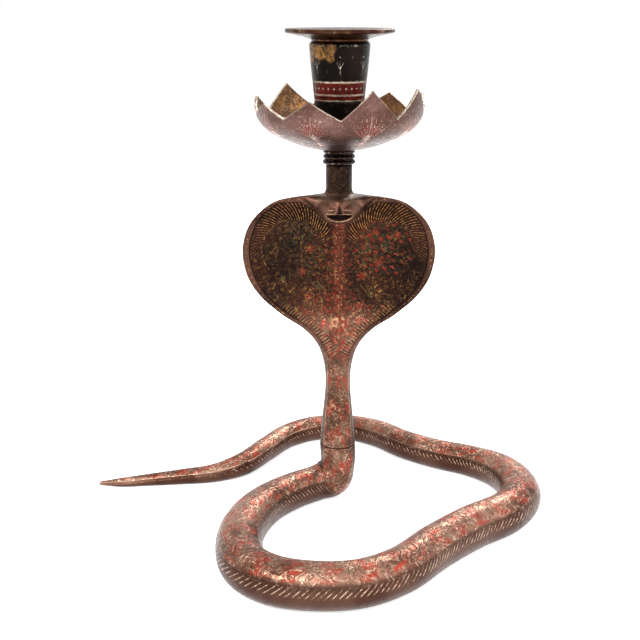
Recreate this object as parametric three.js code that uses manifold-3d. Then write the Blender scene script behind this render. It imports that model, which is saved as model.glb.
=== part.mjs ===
// A brass cobra candle holder. The snake's body lies on the table in one open loop, rises at the
// neck and spreads into a heart-shaped hood. A short stem on the head carries ring washers, a lotus
// drip pan and a candle cup with a rim plate. The cup screws down on one threaded rod.
// Millimetres, +Z up, +X to the snake's left-hand side, and the hood faces -Y.
import * as THREE from "three";
import { mergeVertices } from "three/addons/utils/BufferGeometryUtils.js";
import Module from "manifold-3d";

const wasm = await Module();
wasm.setup();

// Clearances
const threadGap = 0.1; // round a rod in its hole
const slipGap = 0.3; // round the rim plate's sleeve in the cup
const jointGap = 0.3; // between two castings or two stacked pieces

// Snake body on the table: [x, y, body radius] along its middle line, from the neck to the tail joint
const coilRoute = [
  [-10, -2.5, 8.7],
  [-21, -11, 8.8],
  [-33, -25, 9.3],
  [-41, -43, 10],
  [-44, -62, 10.3],
  [-40, -82, 10.3],
  [-28, -93, 10.2],
  [-10, -97, 10],
  [8, -95, 9.9],
  [25, -85, 9.9],
  [42, -66, 9.9],
  [60, -49, 9.9],
  [78, -35, 9.8],
  [87, -20, 9.9],
  [87, -3, 9.5],
  [81, 12, 8.8],
  [69, 24, 8],
  [53, 33, 7.7],
  [37, 45, 7.6],
  [23, 60, 7.5],
  [7, 69, 7],
  [-10, 69, 6.8],
  [-26, 59, 6.6],
  [-38, 41, 6.4],
  [-49, 24, 6],
];
// The tail, from the joint to the tip
const tailRoute = [
  [-49, 24, 5.9],
  [-63, 16, 4.7],
  [-80, 13, 3.9],
  [-96, 11, 3.1],
  [-110, 9.5, 2.3],
  [-121, 11, 0.9],
];
const footFlat = 0.7; // depth filed flat along the underside
const elbowBend = 9.2; // radius of the bend between the neck and the table
const elbowFullness = 9.8; // body radius half way round the bend
const neckRadius = 8.6;
const seamHeight = 28.7; // where the hood casting is screwed on to the coil casting
const neckSpigotRadius = 2.8;
const neckSpigotReach = 10; // into each casting
const tailSpigotRadius = 1.6;
const tailSpigotReach = 7; // into each casting

const throatHeight = 60; // the narrowest place, where the neck starts to spread into the hood
const throatRadius = 6;

// Hood: half width at each height, from the neck seam to the top edge
const hoodTop = 151.8;
const hoodTopHalfWidth = 9;
const hoodWidestHeight = 127;
const hoodWidest = 44;
const hoodOutline = [
  [seamHeight, neckRadius],
  [44, 7.3],
  [throatHeight, throatRadius],
  [71, 6.9],
  [80, 10],
  [88, 16.5],
  [96, 26.5],
  [105, 36],
  [115, 42],
  [hoodWidestHeight, hoodWidest],
  [hoodTop - 13.8, 41.2],
  [hoodTop - 6.3, 35],
  [hoodTop - 2, 27.8],
  [hoodTop - 0.4, 18],
];
const hoodWall = 2.2;
const hoodDishDepth = 11; // from the rim back to the deepest part
const hoodRimBead = 1.4; // how far the rolled rim stands proud
const hoodRimBeadWidth = 2.6;
const ridgeHeight = 4.2; // the snake's body, where it runs up the dish
const ridgeHalfWidth = 5.2;
const roundBodyWidth = 8; // below this half width the section is a round body
const fullHoodWidth = 27; // above it the section is a full dish
const hoodBack = 3; // the dish's deepest part stands this far behind the candle axis
const topRollShare = 0.62; // how far forward the top edge rolls, as a share of the dish's depth
const topRollHeight = 13;
const shoulderDrop = 12.8; // from the top edge down to where the shoulders meet the head
const shoulderInner = 8.5; // half width between the shoulders, beside the head
const shoulderSlope = 1.3;

// Head and stem
const headCentreHeight = hoodTop - 5.4;
const headReach = 14; // in front of the candle axis
const headHalfLength = 10;
const headHalfWidth = 9.6;
const headHalfHeight = 6;
const headTiltDegrees = 8;
const mouthHeight = headCentreHeight - 3.1;
const mouthHalfWidth = 6.4;
const mouthGape = 2;
const mouthDepth = 4;
const stemRadius = 6;
const stemFootHeight = headCentreHeight + 3.9;
const stemLength = 14.9;
const stemTop = stemFootHeight + stemLength;
const stemFlare = 3.2; // fillet where the stem meets the head

// Ring washers between the stem and the pan
const ringHeights = [2, 2.1, 2]; // lower, middle, upper
const ringRadii = [7.4, 7.2, 7.2];
const ringWaist = 1.3; // how far a ring's faces are inside its widest part

// Threaded tie rod
const rodRadius = 2.4;
const rodInStem = 11; // thread engaged in the stem
const rodInCup = 6; // thread engaged in the cup's floor

// Lotus drip pan
const cupFootRadius = 10.2;
const panOutline = [
  [cupFootRadius + 1, 0], // the flat seat is wider than the cup's foot
  [19.6, 2.4],
  [30.6, 7.4],
  [35.8, 12.4],
  [37.6, 18],
  [38.2, 25],
  [38.4, 31],
];
const panWall = 1.2;
const petalCount = 9;
const petalTurnDegrees = 20; // from the front to the first petal on the +X side
const petalValley = 15.6; // height of the notch between two petals
// The petals were cut by hand, so each tip has its own height above the pan's underside
const petalTips = [27.9, 27.3, 23.9, 22.1, 28.5, 26.3, 22.5, 21.3, 23.4];

// Candle cup and the rim plate set into its mouth
const cupHeight = 44.6; // from the cup's foot to its mouth
const cupLowerRadius = 11.1;
const cupBandLow = 19.9; // the engraved band's lower and upper edges above the foot
const cupBandMiddle = 22.4;
const cupBandHigh = 27.9;
const cupTopRadius = 13.3;
const cupWall = 1.3;
const cupFloor = 8; // thickness of the cup's floor
const sleeveLength = 3.6;
const sleeveBoreRadius = 11.1; // for a candle of 22 mm
const sleeveWall = 0.6;
const plateRadius = 23.85;
const plateRise = 5.4; // from the cup's mouth to the top of the plate
const plateEdge = 1.7; // thickness of the plate's edge
const plateTopLand = 3.3; // width of the flat land round the top of the plate

// Facets
const bodySides = 20;
const turnedSides = 48;
const rodSides = 24;
const petalSamples = 10; // columns across one petal

const rad = THREE.MathUtils.degToRad;
const smooth = (x) => THREE.MathUtils.smoothstep(x, 0, 1);

// Materials, as the lacquered and engraved brass looks
const castMetal = new THREE.MeshStandardMaterial({ color: 0x6b4634, roughness: 0.45, metalness: 0.7 });
const darkMetal = new THREE.MeshStandardMaterial({ color: 0x3a2c28, roughness: 0.4, metalness: 0.7 });
const panMetal = new THREE.MeshStandardMaterial({ color: 0x7a5650, roughness: 0.4, metalness: 0.7 });
const bareBrass = new THREE.MeshStandardMaterial({ color: 0xb58a3c, roughness: 0.35, metalness: 0.9 });

function positionsOnly(geometry) {
  const bare = new THREE.BufferGeometry();
  bare.setAttribute("position", geometry.getAttribute("position"));
  if (geometry.index) bare.setIndex(geometry.index);
  return mergeVertices(bare, 1e-4);
}

function solidOf(geometry) {
  const merged = positionsOnly(geometry);
  return new wasm.Manifold(
    new wasm.Mesh({
      numProp: 3,
      vertProperties: merged.attributes.position.array,
      triVerts: new Uint32Array(merged.index.array),
    }),
  );
}

function geometryOf(solid) {
  const mesh = solid.getMesh();
  const geometry = new THREE.BufferGeometry();
  geometry.setAttribute("position", new THREE.BufferAttribute(mesh.vertProperties, 3));
  geometry.setIndex(new THREE.BufferAttribute(mesh.triVerts, 1));
  return geometry;
}

// A closed skin over rings of equal point counts, with a flat fan at each end.
function loft(rings) {
  const count = rings[0].length;
  const positions = [];
  const faces = [];
  for (const ring of rings) for (const p of ring) positions.push(p.x, p.y, p.z);
  const at = (row, column) => row * count + (column % count);
  for (let row = 0; row + 1 < rings.length; row++) {
    for (let i = 0; i < count; i++) {
      faces.push(at(row, i), at(row, i + 1), at(row + 1, i + 1));
      faces.push(at(row, i), at(row + 1, i + 1), at(row + 1, i));
    }
  }
  for (const row of [0, rings.length - 1]) {
    const middle = new THREE.Vector3();
    for (const p of rings[row]) middle.addScaledVector(p, 1 / count);
    const centre = positions.length / 3;
    positions.push(middle.x, middle.y, middle.z);
    for (let i = 0; i < count; i++) {
      if (row === 0) faces.push(centre, at(row, i + 1), at(row, i));
      else faces.push(centre, at(row, i), at(row, i + 1));
    }
  }
  const geometry = new THREE.BufferGeometry();
  geometry.setAttribute("position", new THREE.Float32BufferAttribute(positions, 3));
  geometry.setIndex(faces);
  return geometry;
}

// A turned piece round the +Z axis from an outline of [radius, height] that runs upwards outside.
function turned(outline, sides = turnedSides) {
  const points = outline.map(([radius, height]) => new THREE.Vector2(radius, height));
  if (points[0].x > 0) points.push(points[0].clone());
  return new THREE.LatheGeometry(points, sides).rotateX(Math.PI / 2);
}

function rodAlong(from, to, radius) {
  const length = from.distanceTo(to);
  const rod = new THREE.CylinderGeometry(radius, radius, length, rodSides);
  const turn = new THREE.Quaternion().setFromUnitVectors(
    new THREE.Vector3(0, 1, 0),
    to.clone().sub(from).normalize(),
  );
  rod.applyQuaternion(turn);
  const middle = from.clone().add(to).multiplyScalar(0.5);
  return rod.translate(middle.x, middle.y, middle.z);
}

// A round body whose radius follows the route. Each route point is [x, y, z, radius].
function roundBody(route, rings) {
  const middle = new THREE.CatmullRomCurve3(route.map(([x, y, z]) => new THREE.Vector3(x, y, z)));
  const width = new THREE.CatmullRomCurve3(route.map((p, i) => new THREE.Vector3(i, p[3], 0)));
  const frames = middle.computeFrenetFrames(rings, false);
  const made = [];
  for (let i = 0; i <= rings; i++) {
    const share = middle.getUtoTmapping(i / rings);
    const centre = middle.getPoint(share);
    const radius = width.getPoint(share).y;
    const ring = [];
    for (let k = 0; k < bodySides; k++) {
      const angle = (2 * Math.PI * k) / bodySides;
      ring.push(
        centre
          .clone()
          .addScaledVector(frames.normals[i], radius * Math.cos(angle))
          .addScaledVector(frames.binormals[i], radius * Math.sin(angle)),
      );
    }
    made.push(ring);
  }
  return loft(made);
}

const onTable = ([x, y, radius]) => [x, y, radius - footFlat, radius];

// Everything in one box, used to trim castings flat.
function slab(lowZ, highZ) {
  const reach = 400;
  return solidOf(
    new THREE.BoxGeometry(reach, reach, highZ - lowZ).translate(0, 0, (lowZ + highZ) / 2),
  );
}

const tailJoint = new THREE.Vector3(...onTable(coilRoute.at(-1)).slice(0, 3));
const tailHeading = new THREE.Vector3(
  tailRoute[1][0] - coilRoute.at(-2)[0],
  tailRoute[1][1] - coilRoute.at(-2)[1],
  0,
).normalize();
const neckAxis = (z) => new THREE.Vector3(0, 0, z);

// Half spaces on the two sides of the tail joint.
function tailSide(side) {
  const reach = 90;
  const block = new THREE.BoxGeometry(reach, reach, reach).translate(reach / 2, 0, 0);
  const angle = Math.atan2(side * tailHeading.y, side * tailHeading.x);
  const start = tailJoint.clone().addScaledVector(tailHeading, (-side * jointGap) / 2);
  return solidOf(block.rotateZ(angle).translate(start.x, start.y, start.z));
}

function neckHole() {
  const radius = neckSpigotRadius + threadGap;
  const reach = neckSpigotReach + threadGap;
  return solidOf(rodAlong(neckAxis(seamHeight - reach), neckAxis(seamHeight + reach), radius));
}

function tailHole() {
  const reach = tailSpigotReach + threadGap;
  const from = tailJoint.clone().addScaledVector(tailHeading, -reach);
  const to = tailJoint.clone().addScaledVector(tailHeading, reach);
  return solidOf(rodAlong(from, to, tailSpigotRadius + threadGap));
}

function coilCasting() {
  const bendTop = coilRoute[0][2] - footFlat + elbowBend;
  const half = elbowBend * Math.SQRT1_2;
  const elbow = [
    [0, 0, seamHeight + 12, neckRadius],
    [0, 0, seamHeight, neckRadius],
    [0, 0, bendTop, neckRadius],
    [half - elbowBend, coilRoute[0][1] / 4, bendTop - half, elbowFullness],
  ];
  const route = [...elbow, ...coilRoute.map(onTable)];
  const past = tailJoint.clone().addScaledVector(tailHeading, 4);
  route.push([past.x, past.y, past.z, coilRoute.at(-1)[2]]);
  const whole = solidOf(roundBody(route, 96));
  const kept = whole
    .subtract(slab(-40, 0))
    .subtract(slab(seamHeight - jointGap / 2, seamHeight + 60))
    .subtract(tailSide(1).intersect(nearTail()));
  return geometryOf(kept.subtract(neckHole()).subtract(tailHole()));
}

// The stretch round the tail joint, so that trimming there leaves the rest of the coil whole.
function nearTail() {
  const reach = 22;
  return solidOf(new THREE.BoxGeometry(reach, reach, reach).translate(tailJoint.x, tailJoint.y, 5));
}

function tailCasting() {
  const before = tailJoint.clone().addScaledVector(tailHeading, -4);
  const route = [[before.x, before.y, tailJoint.z, tailRoute[0][2]]];
  tailRoute.forEach(([x, y, radius], i) =>
    route.push([x, y, i === 0 ? tailJoint.z : radius - footFlat * tailShare(radius), radius]),
  );
  const whole = solidOf(roundBody(route, 30));
  const kept = whole.subtract(slab(-40, 0)).subtract(tailSide(-1));
  return geometryOf(kept.subtract(tailHole()));
}

// The filed flat gets shallower as the tail gets thinner.
const tailShare = (radius) => Math.min(1, radius / tailRoute[0][2]);

function hoodSection(z, halfWidth) {
  const points = [];
  const steps = 22;
  const spread = smooth((halfWidth - roundBodyWidth) / (fullHoodWidth - roundBodyWidth));
  const dished = z > hoodWidestHeight ? 1 : spread;
  const depth = hoodDishDepth * Math.sqrt(halfWidth / hoodWidest);
  const thickness = z < throatHeight ? halfWidth : throatRadius;
  const surface = (u, face) => {
    const x = u * halfWidth;
    const ridge = ridgeHeight * Math.exp(-((x / ridgeHalfWidth) ** 2));
    const fromRim = (1 - Math.abs(u)) * halfWidth;
    const bead = hoodRimBead * Math.exp(-((fromRim / hoodRimBeadWidth) ** 2));
    const edge = Math.sqrt(Math.max(0, 1 - u ** 8));
    const rolled = topRollShare * smooth(1 - (hoodTop - z) / topRollHeight);
    const shoulderFoot = hoodTop - shoulderDrop;
    const shoulderLine = shoulderFoot + shoulderSlope * Math.max(0, Math.abs(x) - shoulderInner);
    const shoulder = topRollShare * smooth((z - shoulderLine) / 4);
    const flat = (1 - Math.abs(u) ** 2.6) * (1 - Math.max(rolled, shoulder));
    const middle = hoodBack - depth * (1 - flat);
    const sheet = middle + face * edge * (hoodWall / 2 + ridge + bead);
    const body = face * thickness * Math.sqrt(Math.max(0, 1 - u * u));
    return new THREE.Vector3(x, body * (1 - dished) + sheet * dished, z);
  };
  for (let i = 0; i <= steps; i++) points.push(surface(-Math.cos((Math.PI * i) / steps), -1));
  for (let i = steps - 1; i > 0; i--) points.push(surface(-Math.cos((Math.PI * i) / steps), 1));
  return points;
}

function hoodShell() {
  const outline = new THREE.SplineCurve(hoodOutline.map(([z, w]) => new THREE.Vector2(z, w)));
  const rings = [];
  const rows = 44;
  for (let i = 0; i <= rows; i++) {
    const p = outline.getPoint(i / rows);
    rings.push(hoodSection(i === 0 ? seamHeight : p.x, p.y));
  }
  rings.push(hoodSection(hoodTop, hoodTopHalfWidth));
  return loft(rings);
}

function head() {
  const skull = new THREE.SphereGeometry(1, 28, 18);
  skull.scale(headHalfWidth, headHalfLength, headHalfHeight);
  skull.rotateX(rad(headTiltDegrees));
  return solidOf(skull.translate(0, headHalfLength - headReach, headCentreHeight));
}

function mouth() {
  const slot = new THREE.SphereGeometry(1, 24, 12);
  slot.scale(mouthHalfWidth, mouthDepth, mouthGape / 2);
  return solidOf(slot.translate(0, -headReach + mouthDepth / 4, mouthHeight));
}

function stem() {
  const foot = stemFootHeight;
  const outline = [
    [0, foot - 6],
    [stemRadius + stemFlare * 0.4, foot - 6],
    [stemRadius + stemFlare, foot],
    [stemRadius + stemFlare * 0.5, foot + 1],
    [stemRadius + stemFlare * 0.15, foot + 2.2],
    [stemRadius, foot + 3.6],
    [stemRadius, stemTop],
    [0, stemTop],
  ];
  return solidOf(turned(outline));
}

function hoodCasting() {
  const whole = solidOf(hoodShell()).add(head()).add(stem());
  const kept = whole.subtract(slab(-10, seamHeight + jointGap / 2)).subtract(mouth());
  const rodHole = rodAlong(
    new THREE.Vector3(0, 0, stemTop - rodInStem - threadGap),
    new THREE.Vector3(0, 0, stemTop + 1),
    rodRadius + threadGap,
  );
  return geometryOf(kept.subtract(neckHole()).subtract(solidOf(rodHole)));
}

function ringWasher(radius, height) {
  const bore = rodRadius + threadGap;
  const waist = radius - ringWaist;
  const outline = [
    [bore, 0],
    [waist, 0],
    [radius - 0.3, height * 0.28],
    [radius, height * 0.5],
    [radius - 0.3, height * 0.72],
    [waist, height],
    [bore, height],
  ];
  return turned(outline);
}

// The pan's half section: radius and height at a share of the way from the seat to a tip.
function panProfile(share) {
  return new THREE.SplineCurve(panOutline.map(([r, z]) => new THREE.Vector2(r, z))).getPoint(share);
}

// The share of the profile at which it reaches a height.
function shareAtHeight(height) {
  let low = 0;
  let high = 1;
  for (let i = 0; i < 30; i++) {
    const middle = (low + high) / 2;
    if (panProfile(middle).y < height) low = middle;
    else high = middle;
  }
  return low;
}

function petalHeight(index, across) {
  const tip = petalTips[(index + petalCount) % petalCount];
  const flank = Math.abs(across) ** 0.92;
  return tip + (petalValley - tip) * flank;
}

function lotusPan() {
  const rows = 9;
  const columns = petalCount * petalSamples;
  const bore = rodRadius + threadGap;
  const rings = [];
  for (let c = 0; c < columns; c++) {
    const index = Math.floor(c / petalSamples);
    const across = ((c % petalSamples) / petalSamples) * 2 - 1;
    const step = (2 * Math.PI) / petalCount;
    const angle = rad(petalTurnDegrees) + (index + across / 2) * step;
    const top = shareAtHeight(petalHeight(index, across));
    const outer = [];
    const inner = [];
    for (let r = 0; r <= rows; r++) {
      const share = (top * r) / rows;
      const here = panProfile(share);
      const ahead = panProfile(Math.min(1, share + 0.01));
      const behind = panProfile(Math.max(0, share - 0.01));
      const slope = ahead.clone().sub(behind).normalize();
      outer.push([here.x, here.y]);
      inner.push([here.x - slope.y * panWall, here.y + slope.x * panWall]);
    }
    const loop = [[bore, 0], ...outer, ...inner.reverse(), [bore, panWall]];
    rings.push(
      loop.map(([radius, z]) => new THREE.Vector3(radius * Math.sin(angle), -radius * Math.cos(angle), z)),
    );
  }
  return closedLoop(rings);
}

// Sections joined all the way round, the last one to the first.
function closedLoop(sections) {
  const count = sections[0].length;
  const positions = [];
  const faces = [];
  for (const section of sections) for (const p of section) positions.push(p.x, p.y, p.z);
  const at = (row, column) => (row % sections.length) * count + (column % count);
  for (let row = 0; row < sections.length; row++) {
    for (let i = 0; i < count; i++) {
      faces.push(at(row, i), at(row + 1, i + 1), at(row, i + 1));
      faces.push(at(row, i), at(row + 1, i), at(row + 1, i + 1));
    }
  }
  const geometry = new THREE.BufferGeometry();
  geometry.setAttribute("position", new THREE.Float32BufferAttribute(positions, 3));
  geometry.setIndex(faces);
  return geometry;
}

function candleCup() {
  const hole = rodRadius + threadGap;
  const seat = sleeveBoreRadius + sleeveWall + slipGap;
  const seatFloor = cupHeight - sleeveLength - 0.4;
  const outline = [
    [0, rodInCup + 0.5],
    [hole, rodInCup + 0.5],
    [hole, 0],
    [cupFootRadius, 0],
    [cupFootRadius + 0.7, 4],
    [cupLowerRadius, cupBandLow],
    [cupLowerRadius + 0.3, cupBandMiddle],
    [cupLowerRadius + 0.9, cupBandHigh],
    [cupTopRadius - 0.5, cupHeight - 8.6],
    [cupTopRadius, cupHeight - 2.1],
    [cupTopRadius, cupHeight - 1],
    [cupTopRadius - 0.7, cupHeight],
    [seat, cupHeight],
    [seat, seatFloor],
    [sleeveBoreRadius + 0.1, seatFloor],
    [cupLowerRadius - cupWall, cupBandLow],
    [cupLowerRadius - cupWall - 0.8, cupFloor + 1],
    [cupLowerRadius - cupWall - 1.8, cupFloor],
    [0, cupFloor],
  ];
  return turned(outline);
}

function rimPlate() {
  const sleeve = sleeveBoreRadius + sleeveWall;
  const outline = [
    [sleeveBoreRadius, -sleeveLength],
    [sleeve, -sleeveLength],
    [sleeve, jointGap],
    [sleeve + 0.7, jointGap],
    [sleeve + 0.9, 1],
    [sleeve + 4.3, 2.1],
    [plateRadius - 0.3, plateRise - plateEdge],
    [plateRadius, plateRise - plateEdge + 0.3],
    [plateRadius, plateRise - 0.3],
    [plateRadius - 0.3, plateRise],
    [plateRadius - plateTopLand, plateRise],
    [sleeve + 2.3, plateRise - 0.8],
    [sleeveBoreRadius + 0.8, plateRise - 1.2],
    [sleeveBoreRadius, plateRise - 2],
  ];
  return turned(outline);
}

const holder = new THREE.Group();

function place(name, geometry, material, x = 0, y = 0, z = 0) {
  const mesh = new THREE.Mesh(geometry, material);
  mesh.name = name;
  mesh.position.set(x, y, z);
  holder.add(mesh);
}

place("coil_casting", coilCasting(), castMetal);
place("tail_casting", tailCasting(), castMetal);
place(
  "neck_spigot",
  rodAlong(neckAxis(seamHeight - neckSpigotReach), neckAxis(seamHeight + neckSpigotReach), neckSpigotRadius),
  bareBrass,
);
place(
  "tail_spigot",
  rodAlong(
    tailJoint.clone().addScaledVector(tailHeading, -tailSpigotReach),
    tailJoint.clone().addScaledVector(tailHeading, tailSpigotReach),
    tailSpigotRadius,
  ),
  bareBrass,
);
place("hood_casting", hoodCasting(), castMetal);

let level = stemTop;
["lower_ring", "middle_ring", "upper_ring"].forEach((name, i) => {
  level += jointGap;
  place(name, ringWasher(ringRadii[i], ringHeights[i]), darkMetal, 0, 0, level);
  level += ringHeights[i];
});
const panLevel = level + jointGap;
place("lotus_pan", lotusPan(), panMetal, 0, 0, panLevel);
const cupLevel = panLevel + panWall + jointGap;
place("candle_cup", candleCup(), darkMetal, 0, 0, cupLevel);
place(
  "tie_rod",
  rodAlong(
    new THREE.Vector3(0, 0, stemTop - rodInStem),
    new THREE.Vector3(0, 0, cupLevel + rodInCup),
    rodRadius,
  ),
  bareBrass,
);
place("rim_plate", rimPlate(), darkMetal, 0, 0, cupLevel + cupHeight);

// The origin is on the table, at the middle of the holder's length and depth.
const extent = new THREE.Box3().setFromObject(holder);
const middle = extent.getCenter(new THREE.Vector3()).setZ(0);
for (const mesh of holder.children) mesh.position.sub(middle);
console.log("candle axis at", (-middle.x).toFixed(3), (-middle.y).toFixed(3), "mm");

export default holder;
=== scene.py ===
"""A brass cobra candle holder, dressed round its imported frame.

Lengths in this script are millimetres from the candle's axis at table height, as in the part's
source. to_frame() turns them into the frame's metres.
"""
import math

import bpy
import numpy as np
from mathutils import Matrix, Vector


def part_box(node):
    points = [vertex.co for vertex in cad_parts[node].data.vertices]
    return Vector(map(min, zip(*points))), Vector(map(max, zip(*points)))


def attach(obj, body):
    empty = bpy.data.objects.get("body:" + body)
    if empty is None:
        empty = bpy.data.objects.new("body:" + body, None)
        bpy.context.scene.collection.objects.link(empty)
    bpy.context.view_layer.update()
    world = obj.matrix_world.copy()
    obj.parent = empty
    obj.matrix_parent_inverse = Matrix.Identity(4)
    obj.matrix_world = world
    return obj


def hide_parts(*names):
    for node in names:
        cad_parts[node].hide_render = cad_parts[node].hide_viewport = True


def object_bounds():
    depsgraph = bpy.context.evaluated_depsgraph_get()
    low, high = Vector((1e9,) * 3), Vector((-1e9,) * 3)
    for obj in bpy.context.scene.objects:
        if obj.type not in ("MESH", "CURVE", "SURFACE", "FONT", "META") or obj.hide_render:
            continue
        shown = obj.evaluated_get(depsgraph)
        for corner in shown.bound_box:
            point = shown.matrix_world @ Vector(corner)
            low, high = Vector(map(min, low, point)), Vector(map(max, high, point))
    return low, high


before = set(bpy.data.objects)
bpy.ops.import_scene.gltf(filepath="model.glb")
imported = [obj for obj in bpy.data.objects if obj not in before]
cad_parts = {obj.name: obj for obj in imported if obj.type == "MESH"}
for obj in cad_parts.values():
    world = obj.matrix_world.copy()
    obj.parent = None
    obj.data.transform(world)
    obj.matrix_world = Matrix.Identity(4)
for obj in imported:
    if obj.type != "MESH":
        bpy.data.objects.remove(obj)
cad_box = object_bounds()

MM = 0.001
rod_low, rod_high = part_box("tie_rod")
AXIS = (rod_low + rod_high) / 2

# Camera, in millimetres from the candle's axis
CAMERA_PLACE = (-8.6, -451.0, 233.8)
CAMERA_PITCH = 17.5
CAMERA_LENS = 56.25
SENSOR = 36.0

# Snake body: x, y and radius along its middle line, as in the part's source
COIL_ROUTE = [
    (-10, -2.5, 8.7), (-21, -11, 8.8), (-33, -25, 9.3), (-41, -43, 10), (-44, -62, 10.3),
    (-40, -82, 10.3), (-28, -93, 10.2), (-10, -97, 10), (8, -95, 9.9), (25, -85, 9.9),
    (42, -66, 9.9), (60, -49, 9.9), (78, -35, 9.8), (87, -20, 9.9), (87, -3, 9.5),
    (81, 12, 8.8), (69, 24, 8), (53, 33, 7.7), (37, 45, 7.6), (23, 60, 7.5), (7, 69, 7),
    (-10, 69, 6.8), (-26, 59, 6.6), (-38, 41, 6.4), (-49, 24, 6),
]
TAIL_ROUTE = [
    (-49, 24, 5.9), (-63, 16, 4.7), (-80, 13, 3.9), (-96, 11, 3.1), (-110, 9.5, 2.3),
    (-121, 11, 0.9),
]
FOOT_FLAT = 0.7
ELBOW_BEND = 9.2
ELBOW_FULLNESS = 9.8
NECK_RADIUS = 8.6
SEAM_HEIGHT = 28.7
JOINT_GAP = 0.3
TAIL_SEAM = 0.06
NECK_LEAD = 11.8

# Hood: height and half width, as in the part's source
HOOD_OUTLINE = [
    (28.7, 8.6), (44, 7.3), (60, 6), (71, 6.9), (80, 10), (88, 16.5), (96, 26.5), (105, 36),
    (115, 42), (127, 44), (138, 41.2), (145.5, 35), (149.8, 27.8), (151.4, 18),
]
HOOD_TOP = 151.8
HOOD_TOP_HALF_WIDTH = 9.0
HOOD_WIDEST_HEIGHT = 127.0
HOOD_WIDEST = 44.0
THROAT_HEIGHT = 60.0
THROAT_RADIUS = 6.0
HOOD_WALL = 2.2
HOOD_DISH_DEPTH = 11.0
HOOD_BACK = 3.0
RIM_BEAD = 1.4
RIM_BEAD_WIDTH = 2.6
TOP_ROLL_SHARE = 0.62
TOP_ROLL_HEIGHT = 13.0
SHOULDER_DROP = 11.0
SHOULDER_INNER = 7.0
SHOULDER_SLOPE = 0.75
COLLAR_SHARE = 0.6
COLLAR_WIDTH = 15.0
RIDGE_HEIGHT = 4.2
RIDGE_HALF_WIDTH = 5.2
ROUND_BODY_WIDTH = 8.0
FULL_HOOD_WIDTH = 27.0

# Head and stem
HEAD_SECTIONS = [
    (3.0, 12.5, 147.4, 3.0), (0.0, 13.0, 147.2, 4.2), (-4.0, 12.0, 146.6, 5.0),
    (-8.0, 10.0, 145.8, 5.2), (-11.0, 8.4, 144.9, 4.6), (-13.2, 6.8, 144.2, 3.6),
    (-14.4, 4.6, 143.8, 2.2),
]
HEAD_SQUARENESS = 0.85
MOUTH_TOP = 144.6
MOUTH_DROP = 2.1
MOUTH_HALF_WIDTH = 5.9
EYE_HEIGHT = 146.4
NOSE_APEX = 149.2
NOSE_FOOT = 145.5
NOSE_HALF_WIDTH = 1.4
STEM_RADIUS = 6.0
STEM_FOOT = 150.3
STEM_TOP = 165.2
STEM_FLARE = 3.2

# Pan
PAN_WALL = 1.2
PAN_OUTLINE = [(11.2, 0), (19.6, 2.4), (30.6, 7.4), (35.8, 12.4), (37.6, 18), (38.2, 25), (38.4, 31)]
PETAL_COUNT = 9
PETAL_TURN = 20.0
PETAL_VALLEY = 15.6
PETAL_TIPS = [27.9, 27.3, 23.9, 22.1, 28.5, 26.3, 22.5, 21.3, 23.4]

# Cup
CUP_HEIGHT = 44.6
CUP_FLOOR = 8.0
CUP_WALL = 1.3
CUP_BANDS = (19.9, 22.4, 27.9)
CUP_FOOT_RADIUS = 10.2
CUP_LOWER_RADIUS = 11.1
CUP_TOP_RADIUS = 13.3
SLEEVE_RADIUS = 11.7
SLEEVE_BORE = 11.1
PLATE_RADIUS = 23.85
PLATE_RISE = 5.4

# Colours, linear
LACQUER = (0.105, 0.040, 0.023)
LACQUER_RED = (0.310, 0.168, 0.115)
HOOD_DARK = (0.012, 0.006, 0.005)
HOOD_BROWN = (0.048, 0.015, 0.009)
BRASS = (0.50, 0.27, 0.095)
RED_ENAMEL = (0.22, 0.016, 0.008)
SNAKE_RED = (0.34, 0.042, 0.020)
GREEN_ENAMEL = (0.035, 0.042, 0.016)
BLACK_LACQUER = (0.004, 0.003, 0.0025)
BLACK_WORN = (0.013, 0.007, 0.005)
PAN_LACQUER = (0.080, 0.035, 0.026)
PAN_WORN = (0.155, 0.080, 0.068)
PALE_METAL = (0.74, 0.52, 0.37)
# Also colours the painted highlights on the hood.
HOOD_GOLD = (0.58, 0.28, 0.09)
# Also colours the painted highlights on the petal edges and round the cup's top.
CREAM = (0.70, 0.58, 0.46)
WORN_GOLD = (0.46, 0.22, 0.06)
FACE_FRONT = (0.0, -1.0, 0.0)
SCROLL_SCALE = 250.0
SNAKE_SCROLL_SCALE = 130.0
RELIEF = 0.30
FLOOR_GLOW = 0.66


# Small maths

def smooth(x):
    x = np.clip(x, 0, 1)
    return x * x * (3 - 2 * x)


def bump(x, width):
    return np.exp(-((x / width) ** 2))


def line(x, half_width):
    """1 on the line, falling to 0 at a little over its half width."""
    return 1 - smooth((np.abs(x) - half_width * 0.5) / (half_width * 0.7))


def strokes(x, spacing, share):
    """Repeated strokes that fill this share of their spacing."""
    away = np.abs((x / spacing) % 1 - 0.5) * 2
    return smooth((share - away) / 0.25 + 0.5)


def wander(x, y, seed):
    """A smooth patchy field from 0 to 1, made of a few waves with seeded directions."""
    rng = np.random.default_rng(seed)
    total = np.zeros_like(x, dtype=float)
    for _ in range(7):
        angle, phase = rng.uniform(0, 2 * math.pi, 2)
        pitch = rng.uniform(4, 16)
        along = x * math.cos(angle) + y * math.sin(angle)
        total += np.sin(2 * math.pi * along / pitch + phase)
    return np.clip(0.5 + total / 6, 0, 1)


def rosette(dx, dy, radius, petals, turn=0.0):
    """(petal mask, outline mask) of a flower at the origin."""
    away = np.hypot(dx, dy)
    angle = np.arctan2(dy, dx) + turn
    edge = radius * (0.62 + 0.38 * np.abs(np.cos(petals * angle / 2)))
    petal = smooth((edge - away) / (0.18 * radius) + 0.5)
    outline = line(away - edge, 0.45) + line(away - 0.28 * radius, 0.3)
    return petal, np.clip(outline, 0, 1)


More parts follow.
